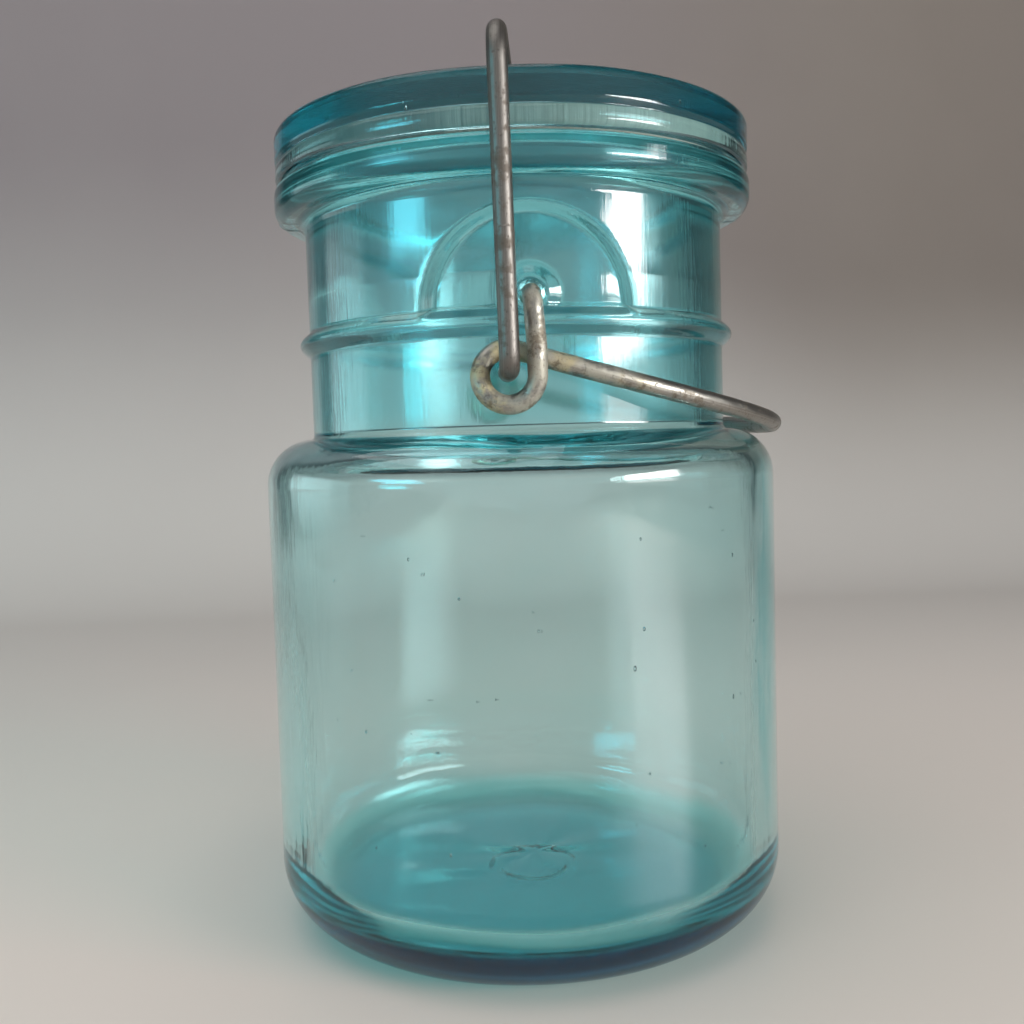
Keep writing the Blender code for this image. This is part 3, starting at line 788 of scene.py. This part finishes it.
def pressed_glass_group():
    """Slow waves, fine ripples and streaks drawn upright, dull flecks and clouds of pressed glass."""
    outputs = ("Height", "Flecks", "Clouds")
    group, come, go = node_group("pressed_glass", ("Wave Size", "Streak Depth"), outputs)
    net = Net(group)
    place = come.outputs["Position"]
    slow = net.noise(net.drawn(place, rate=0.45), come.outputs["Wave Size"], detail=2.0)
    fine = net.noise(net.drawn(place, rate=0.2), scale=420.0, detail=2.0)
    streaks = net.noise(net.drawn(place, rate=0.06), scale=1500.0)
    rise = net.math("MULTIPLY_ADD", fine, FINE_DEPTH, slow)
    flecks = net.noise(place, scale=900.0, detail=4.0, roughness=0.7)
    net.feed(go, {
        "Height": net.math("MULTIPLY_ADD", streaks, come.outputs["Streak Depth"], rise),
        "Flecks": net.spread(flecks, low=0.66, high=0.78),
        "Clouds": net.spread(net.noise(place, scale=38.0), low=0.3, high=0.7),
    })
    return group


# Height of worn wire's lumps where it is bare, how much chalk adds to it, and the depth of its pits
LUMPS_BARE = 0.25
LUMPS_CHALK = 0.9
PIT_DEPTH = 0.35


def worn_wire_group():
    """Drawn lines, dark pits, brown rust and pale chalk of old zinc-coated wire."""
    outputs = ("Lines", "Pits", "Rust", "Chalk", "Height")
    group, come, go = node_group("worn_wire", ("Around", "Chalk"), outputs)
    net = Net(group)
    place = come.outputs["Position"]
    round_place = net.add("ShaderNodeCombineXYZ", {"X": come.outputs["Around"]}).outputs[0]
    pits = net.spread(net.noise(place, scale=1700.0, roughness=0.65), low=0.56, high=0.70)
    rust = net.noise(place, scale=300.0, detail=5.0, roughness=0.7)
    crumbs = net.noise(place, scale=240.0, detail=5.0, roughness=0.72)
    chalky = net.math("MULTIPLY", come.outputs["Chalk"], net.spread(crumbs, low=0.38, high=0.56))
    grain = net.noise(place, scale=900.0, detail=4.0, roughness=0.6)
    lumps = net.math("MULTIPLY", grain, net.math("MULTIPLY_ADD", chalky, LUMPS_CHALK, LUMPS_BARE))
    net.feed(go, {
        "Lines": net.noise(round_place, scale=14.0, detail=5.0, roughness=0.7),
        "Pits": pits,
        "Rust": net.spread(rust, low=0.54, high=0.64),
        "Chalk": chalky,
        "Height": net.math("SUBTRACT", lumps, net.math("MULTIPLY", pits, PIT_DEPTH)),
    })
    return group


def new_finish(name):
    """A material with an empty Principled shader, and the net and shader to fill."""
    made = bpy.data.materials.new(name)
    made.use_nodes = True
    return made, Net(made.node_tree), made.node_tree.nodes["Principled BSDF"]


# Glass: tints of its skin, shades of the light through it, and the heights and radii where they change
GLASS_IOR = 1.5
GLASS_SHADE = (0.93, 0.98, 0.98, 1.0)
BASE_SHADE = (0.31, 0.88, 1.0, 1.0)
HEEL_SHADE = (0.60, 0.74, 0.75, 1.0)
NECK_TINT = (0.72, 0.975, 1.0, 1.0)
BASE_TINT = (0.42, 1.0, 1.0, 1.0)
# Painted shade: the outer heel's skin colour, dark to stand for the shadow under the heel
HEEL_PAINTED_SHADE = (0.001, 0.05, 0.14, 1.0)
HEEL_REACH = (28.0, 36.0)
THICK_ABOVE = (78.0, 86.0)
THICK_BELOW = (9.0, 5.0)

# Glass: its waves and streaks, first in the wall, then in the base or the neck, and its roughness
WAVE_DEPTH = 0.25
WAVE_STRENGTH = (0.5, 0.08)
STREAK_DEPTH = (0.035, 0.2)
FLECK_ROUGHNESS = (0.015, 0.16)
FROST_ROUGHNESS = 0.34

JAR_LOOK = {
    "absorb": (0.02, 0.84, 0.88, 1.0),
    "density": 50.0,
    "wave_size": 55.0,
    "pale": (0.95, 1.0, 1.0, 1.0),
    "deep": (0.90, 0.985, 0.98, 1.0),
}
LID_LOOK = {
    "absorb": (0.02, 0.61, 0.66, 1.0),
    "density": 55.0,
    "wave_size": 75.0,
    "pale": (0.93, 1.0, 1.0, 1.0),
    "deep": (0.88, 0.98, 0.98, 1.0),
}


def glass_finish(name, group, absorb, density, wave_size, pale, deep):
    """Aqua glass: tinted by depth, waved by a bump, with faint dull flecks, and light let through its shade.

    The neck and the base are thicker, so they are tinted more. A value named frost dulls the skin, and
    one named heel darkens it with painted shade for the shadow under the heel, as seen from outside.
    """
    made, net, shader = new_finish(name)
    place = net.place()
    parts = net.add("ShaderNodeSeparateXYZ", {0: place}).outputs
    neck = net.between(parts["Z"], THICK_ABOVE)
    base = net.between(parts["Z"], THICK_BELOW)
    streaks = net.spread(neck, 0.0, 1.0, *STREAK_DEPTH)
    press = net.group(group, {"Position": place, "Wave Size": wave_size, "Streak Depth": streaks})
    tint = net.blend(press["Clouds"], pale, deep)
    tint = net.blend(base, net.blend(neck, tint, NECK_TINT), BASE_TINT)
    outside = net.math("SUBTRACT", 1.0, net.add("ShaderNodeNewGeometry").outputs["Backfacing"])
    # Painted shade: the outer heel's skin is tinted dark for the shadow under it
    tint = net.blend(net.math("MULTIPLY", net.point_value("heel"), outside), tint, HEEL_PAINTED_SHADE)
    flecks = net.spread(press["Flecks"], 0.0, 1.0, *FLECK_ROUGHNESS)
    calm = net.spread(base, 0.0, 1.0, *WAVE_STRENGTH)
    net.feed(shader, {
        "Base Color": tint,
        "Roughness": net.math("MULTIPLY_ADD", net.point_value("frost"), FROST_ROUGHNESS, flecks),
        "Normal": net.bump(press["Height"], calm, WAVE_DEPTH),
    })
    shader.inputs["IOR"].default_value = GLASS_IOR
    shader.inputs["Transmission Weight"].default_value = 1.0
    shader.inputs["Metallic"].default_value = 0.0
    flat = net.add("ShaderNodeVectorMath", {0: place, 1: (1.0, 1.0, 0.0)}, operation="MULTIPLY").outputs[0]
    reach = net.add("ShaderNodeVectorMath", {0: flat}, operation="LENGTH").outputs["Value"]
    ring = net.math("MULTIPLY", base, net.between(reach, HEEL_REACH))
    shade = net.blend(ring, net.blend(base, GLASS_SHADE, BASE_SHADE), HEEL_SHADE)
    clear = net.add("ShaderNodeBsdfTransparent", {"Color": shade}).outputs[0]
    in_shadow = net.add("ShaderNodeLightPath").outputs["Is Shadow Ray"]
    mixed = net.add("ShaderNodeMixShader", {0: in_shadow, 1: shader.outputs[0], 2: clear})
    depth = net.add("ShaderNodeVolumeAbsorption", {"Color": absorb, "Density": density})
    out = made.node_tree.nodes["Material Output"]
    net.feed(out, {"Surface": mixed.outputs[0], "Volume": depth.outputs[0]})
    return made


SEED_TINT = (0.93, 0.99, 0.99, 1.0)
WHITE = (1.0, 1.0, 1.0, 1.0)
SEED_ROUGHNESS = 0.02


def seed_finish():
    """The skin of a bubble in glass: air inside, so its index is one over the glass's."""
    made, net, shader = new_finish("seed_air")
    net.feed(shader, {"Base Color": net.blend(net.noise(net.place(), scale=900.0), SEED_TINT, WHITE)})
    shader.inputs["Roughness"].default_value = SEED_ROUGHNESS
    shader.inputs["IOR"].default_value = 1.0 / GLASS_IOR
    shader.inputs["Transmission Weight"].default_value = 1.0
    return made


RUBBER_DARK = (0.34, 0.34, 0.30, 1.0)
RUBBER_PALE = (0.48, 0.47, 0.42, 1.0)
RUBBER_ROUGHNESS = (0.55, 0.8)
RIB_STRENGTH = 0.8
RIB_DEPTH = 0.3


def rubber_finish():
    """Pale matt rubber with a grey bloom and fine upright ribs."""
    made, net, shader = new_finish("pale_rubber")
    place = net.place()
    bloom = net.spread(net.noise(place, scale=160.0, detail=5.0, roughness=0.65), low=0.35, high=0.7)
    ribs = net.noise(net.drawn(place, rate=0.06), scale=1100.0, detail=2.0)
    net.feed(shader, {
        "Base Color": net.blend(bloom, RUBBER_DARK, RUBBER_PALE),
        "Roughness": net.spread(bloom, 0.0, 1.0, *RUBBER_ROUGHNESS),
        "Normal": net.bump(ribs, RIB_STRENGTH, RIB_DEPTH),
    })
    return made


# Zinc wire: colours, how much rust and pits cover and dull it, and its values where it is covered
PIT_COLOUR = (0.06, 0.045, 0.035, 1.0)
PIT_COVER = 0.45
RUST_COVER = 0.7
RUST_DULL = 0.8
CRUST_METALLIC = 0.5
CRUST_ROUGHNESS = 0.55
WEAR_STRENGTH = 0.7
WEAR_DEPTH = 0.12

# A wire's chalk is full to the first share of its length from each end and gone at the second
BAIL_LOOK = {
    "bright": (0.25, 0.238, 0.222, 1.0),
    "dark": (0.10, 0.092, 0.083, 1.0),
    "rust": (0.085, 0.067, 0.05, 1.0),
    "chalk": (0.36, 0.35, 0.31, 1.0),
    "stain": (0.38, 0.35, 0.28, 1.0),
    "chalk_reach": (0.0, 0.03),
    "roughness": 0.45,
}
LEVER_LOOK = {
    "bright": (0.38, 0.375, 0.35, 1.0),
    "dark": (0.18, 0.168, 0.148, 1.0),
    "rust": (0.12, 0.092, 0.058, 1.0),
    "chalk": (0.38, 0.365, 0.305, 1.0),
    "stain": (0.46, 0.405, 0.25, 1.0),
    "chalk_reach": (0.20, 0.30),
    "roughness": 0.36,
}


def wire_finish(name, group, bright, dark, rust, chalk, stain, chalk_reach, roughness):
    """Worn zinc: drawn lines, brown rust and pits and, towards the wire's ends, chalk with a yellow stain."""
    made, net, shader = new_finish(name)
    place = net.place()
    from_middle = net.math("ABSOLUTE", net.math("SUBTRACT", net.point_value("along"), 0.5), 0.0)
    chalky = net.spread(from_middle, 0.5 - chalk_reach[1], 0.5 - chalk_reach[0])
    worn = net.group(group, {"Position": place, "Around": net.point_value("around"), "Chalk": chalky})
    metal = net.blend(net.spread(worn["Lines"], low=0.3, high=0.7), dark, bright)
    crust = net.blend(net.spread(net.noise(place, scale=130.0), low=0.42, high=0.6), chalk, stain)
    metal = net.blend(worn["Chalk"], metal, crust)
    metal = net.blend(net.math("MULTIPLY", worn["Rust"], RUST_COVER), metal, rust)
    metal = net.blend(net.math("MULTIPLY", worn["Pits"], PIT_COVER), metal, PIT_COLOUR)
    covered = net.math("MAXIMUM", worn["Chalk"], net.math("MULTIPLY", worn["Rust"], RUST_DULL))
    net.feed(shader, {
        "Base Color": metal,
        "Metallic": net.spread(covered, 0.0, 1.0, 1.0, CRUST_METALLIC),
        "Roughness": net.spread(covered, 0.0, 1.0, roughness, CRUST_ROUGHNESS),
        "Normal": net.bump(worn["Height"], WEAR_STRENGTH, WEAR_DEPTH),
    })
    return made


# Stage: its profile, its colours, and the places between which one goes over to the next
FLOOR_DROP = 0.2
STAGE_HALF_WIDTH = 1600.0
STAGE_FRONT = -1300.0
STAGE_BEND_START = 330.0
STAGE_BEND_RADIUS = 170.0
STAGE_TOP = 1500.0
# Painted light falloff: the floor is paler near the camera and darker towards the wall
FLOOR_NEAR = (0.86, 0.77, 0.70, 1.0)
FLOOR_FAR_PAINTED_SHADE = (0.55, 0.52, 0.49, 1.0)
# Painted shade: the wall's colour is darker on the right than on the left
WALL_LEFT = (0.238, 0.205, 0.21, 1.0)
WALL_RIGHT_PAINTED_SHADE = (0.215, 0.184, 0.164, 1.0)
WALL_END = (0.05, 0.05, 0.053, 1.0)
FLOOR_TO_FAR = (-150.0, 400.0)
LEFT_TO_RIGHT = (-50.0, 300.0)
WALL_RISE_LEFT = 290.0
WALL_RISE_RIGHT = 190.0
WALL_MIDDLE = 40.0
WALL_END_AWAY = (400.0, 560.0)
WALL_END_RISE = (0.0, 30.0)
CLOUD_AMOUNT = 0.16
SATIN_TO_FAR = (20.0, 220.0)
SATIN_TO_LEFT = (-20.0, -120.0)
SATIN_AND_MATT = (0.31, 0.9)


def backdrop_finish():
    """A pale floor, satin near the camera, that goes over to a clouded wall with dark ends."""
    made, net, shader = new_finish("pale_backdrop")
    place = net.place()
    parts = net.add("ShaderNodeSeparateXYZ", {0: place}).outputs
    rightward = net.between(parts["X"], LEFT_TO_RIGHT)
    wall_foot = net.spread(rightward, 0.0, 1.0, WALL_RISE_LEFT * MM, WALL_RISE_RIGHT * MM)
    cloud = net.math("MULTIPLY", net.math("SUBTRACT", net.noise(place, scale=5.0), 0.5), CLOUD_AMOUNT)
    rise = net.math("ADD", net.spread(parts["Z"], 0.0, wall_foot), cloud)
    sideways = net.math("ABSOLUTE", net.math("SUBTRACT", parts["X"], WALL_MIDDLE * MM), 0.0)
    end = net.math("MULTIPLY", net.between(sideways, WALL_END_AWAY), net.between(parts["Z"], WALL_END_RISE))
    # Painted light falloff: the floor's colour darkens from near the camera towards the wall
    floor = net.blend(net.between(parts["Y"], FLOOR_TO_FAR), FLOOR_NEAR, FLOOR_FAR_PAINTED_SHADE)
    # Painted shade: the wall darkens from left to right
    wall = net.blend(rightward, WALL_LEFT, WALL_RIGHT_PAINTED_SHADE)
    matt_far = net.between(parts["Y"], SATIN_TO_FAR, *SATIN_AND_MATT)
    matt_left = net.between(parts["X"], SATIN_TO_LEFT, *SATIN_AND_MATT)
    net.feed(shader, {
        "Base Color": net.blend(end, net.blend(rise, floor, wall), WALL_END),
        "Roughness": net.math("MAXIMUM", matt_far, matt_left),
    })
    return made


def stage(finish):
    """A floor that bends up into a wall: a line, a quarter circle and a line, run along X."""
    bend = arc((STAGE_BEND_START, STAGE_BEND_RADIUS), STAGE_BEND_RADIUS, -90, 0, 24)
    wall_top = (STAGE_BEND_START + STAGE_BEND_RADIUS, STAGE_TOP)
    profile = np.concatenate(([(STAGE_FRONT, 0.0)], bend, [wall_top]))
    shape = (len(profile), 2)
    grid = np.stack((
        np.broadcast_to((-STAGE_HALF_WIDTH, STAGE_HALF_WIDTH), shape),
        np.broadcast_to(profile[:, :1], shape),
        np.broadcast_to(profile[:, 1:] - FLOOR_DROP, shape),
    ), axis=-1)
    index = np.arange(2 * len(profile)).reshape(shape)
    faces = np.stack((index[:-1, 0], index[:-1, 1], index[1:, 1], index[1:, 0]), axis=-1).tolist()
    smooth_object("floor_and_wall", grid.reshape(-1, 3), faces, finish)


# Lights: the windows' colours, places and aims, and the room round the stage
WARM_WHITE = (1.0, 0.98, 0.96)
COOL_WHITE = (0.78, 0.98, 1.0)
WINDOW_CYAN = (0.14, 0.80, 1.0)
SILL_CYAN = (0.04, 0.85, 1.0)
WINDOW_DISTANCE = 900.0
RIGHT_AZIMUTH = 52.0
LEFT_AZIMUTH = -57.0
RIGHT_AIM = (-300.0, -554.0)
RIGHT_WINDOW_HEIGHT = 238.0
RIGHT_SILL_HEIGHT = 120.0
JAR_MIDDLE = (0.0, 0.0, 75.0)
FLOOR_IN_FRONT = (0.0, -250.0, 0.0)
ROOM_SIDES = (0.10, 0.10, 0.10, 1.0)
ROOM_BEHIND = (0.95, 0.95, 0.95, 1.0)
ROOM_TOP = (0.16, 0.16, 0.17, 1.0)
ROOM_STRENGTH = 0.8


def soft_box(
    name, azimuth, height, size, power, colour, distance=WINDOW_DISTANCE, target=JAR_MIDDLE, edge=0.0
):
    """A soft box aimed at a target. Azimuth 0 is at the camera, and it grows towards the right.

    Its light fades over the share of its width and height that edge gives.
    """
    turn = math.radians(azimuth)
    place = Vector((distance * math.sin(turn), -distance * math.cos(turn), height))
    light = bpy.data.lights.new(name, "AREA")
    light.shape = "RECTANGLE"
    light.size = size[0] * MM
    light.size_y = size[1] * MM
    light.energy = power
    light.color = colour
    if edge:
        light.use_nodes = True
        net = Net(light.node_tree)
        spot = net.add("ShaderNodeSeparateXYZ", {0: net.add("ShaderNodeNewGeometry").outputs["Parametric"]})
        fades = []
        for axis in ("X", "Y"):
            off = net.math("ABSOLUTE", net.math("SUBTRACT", spot.outputs[axis], 0.5), 0.0)
            fades.append(net.spread(off, 0.5, 0.5 - edge))
        net.feed(light.node_tree.nodes["Emission"], {"Strength": net.math("MULTIPLY", *fades)})
    made = bpy.data.objects.new(name, light)
    made.rotation_euler = (Vector(target) - place).to_track_quat("-Z", "Y").to_euler()
    made.location = place * MM
    bpy.context.scene.collection.objects.link(made)


def lights():
    """A window and its sill on each side, a panel far to the left and a wide ceiling."""
    soft_box(
        "window_right", RIGHT_AZIMUTH, RIGHT_WINDOW_HEIGHT, size=(620, 200), power=12.5, colour=WARM_WHITE,
        target=(*RIGHT_AIM, RIGHT_WINDOW_HEIGHT), edge=0.24,
    )
    soft_box(
        "sill_right", RIGHT_AZIMUTH, RIGHT_SILL_HEIGHT, size=(560, 90), power=1.1, colour=WARM_WHITE,
        target=(*RIGHT_AIM, RIGHT_SILL_HEIGHT), edge=0.25,
    )
    soft_box(
        "window_left", LEFT_AZIMUTH, height=302, size=(430, 110), power=2.0, colour=WINDOW_CYAN, edge=0.3
    )
    soft_box(
        "sill_left", LEFT_AZIMUTH, height=138, size=(230, 110), power=0.6, colour=SILL_CYAN, edge=0.25
    )
    soft_box(
        "panel_left", azimuth=-105, height=150, size=(600, 300), power=0.9, colour=COOL_WHITE,
        distance=800, edge=0.2,
    )
    soft_box(
        "ceiling", azimuth=-55, height=1400, size=(1400, 1400), power=9.6, colour=WARM_WHITE,
        distance=450, target=FLOOR_IN_FRONT,
    )


def room():
    """A world that is dim at the sides and the top and bright behind the camera."""
    world = bpy.data.worlds.new("soft_room")
    world.use_nodes = True
    bpy.context.scene.world = world
    net = Net(world.node_tree)
    place = net.add("ShaderNodeTexCoord").outputs["Generated"]
    parts = net.add("ShaderNodeSeparateXYZ", {0: place}).outputs
    around = net.blend(net.spread(parts["Y"], low=0.2, high=-0.8), ROOM_SIDES, ROOM_BEHIND)
    back = world.node_tree.nodes["Background"]
    net.feed(back, {"Color": net.blend(net.spread(parts["Z"], low=0.34, high=0.7), around, ROOM_TOP)})
    back.inputs["Strength"].default_value = ROOM_STRENGTH


def camera():
    """The photo's viewpoint: right and up follow from the line of sight, then both roll about it."""
    ahead = Vector(CAMERA_AHEAD).normalized()
    right = ahead.cross(Vector((0.0, 0.0, 1.0))).normalized()
    up = right.cross(ahead)
    roll = math.radians(CAMERA_ROLL_DEG)
    rolled_right = math.cos(roll) * right + math.sin(roll) * up
    rolled_up = math.cos(roll) * up - math.sin(roll) * right
    turn = Matrix((rolled_right, rolled_up, -ahead)).transposed().to_4x4()
    view = bpy.data.cameras.new("photo_view")
    view.lens = CAMERA_LENS
    view.sensor_width = SENSOR_WIDTH
    view.clip_start = CAMERA_CLIP * MM
    made = bpy.data.objects.new("photo_view", view)
    made.matrix_world = Matrix.Translation(Vector(CAMERA_PLACE) * MM) @ turn
    bpy.context.scene.collection.objects.link(made)
    bpy.context.scene.camera = made


LIGHT_BOUNCES = 24
GLOSSY_BOUNCES = 8


def light_paths():
    """Enough bounces for light to cross both walls, the lid and the base, and a plain colour curve."""
    settings = bpy.context.scene.cycles
    settings.max_bounces = LIGHT_BOUNCES
    settings.transmission_bounces = LIGHT_BOUNCES
    settings.glossy_bounces = GLOSSY_BOUNCES
    settings.transparent_max_bounces = LIGHT_BOUNCES
    settings.caustics_reflective = False
    settings.caustics_refractive = False
    bpy.context.scene.view_settings.view_transform = "Standard"


def build():
    """The finishes, the pieces that wear them, and the stage with its lights and camera."""
    pressed = pressed_glass_group()
    worn = worn_wire_group()
    jar_finish = glass_finish("aqua_glass", pressed, **JAR_LOOK)
    lid_finish = glass_finish("aqua_lid_glass", pressed, **LID_LOOK)
    bail_finish = wire_finish("bail_zinc", worn, **BAIL_LOOK)
    lever_finish = wire_finish("lever_zinc", worn, **LEVER_LOOK)
    air = seed_finish()
    jar_glass(jar_finish)
    lid_glass(lid_finish)
    sealing_ring(rubber_finish())
    wire("lever_bent_wire", lever_path(), lever_finish, "lever", "lever_metal", "lever_wire", **LEVER_SKIN)
    wire("bail_bent_wire", bail_path(), bail_finish, "bail", "bail_metal", "bail_wire", **BAIL_SKIN)
    seed_bubbles("jar_seeds", wall_seeds(**JAR_SEEDS), air, "jar")
    seed_bubbles("lid_seeds", wall_seeds(**LID_SEEDS), air, "lid")
    stage(backdrop_finish())
    lights()
    room()
    camera()
    light_paths()


build()
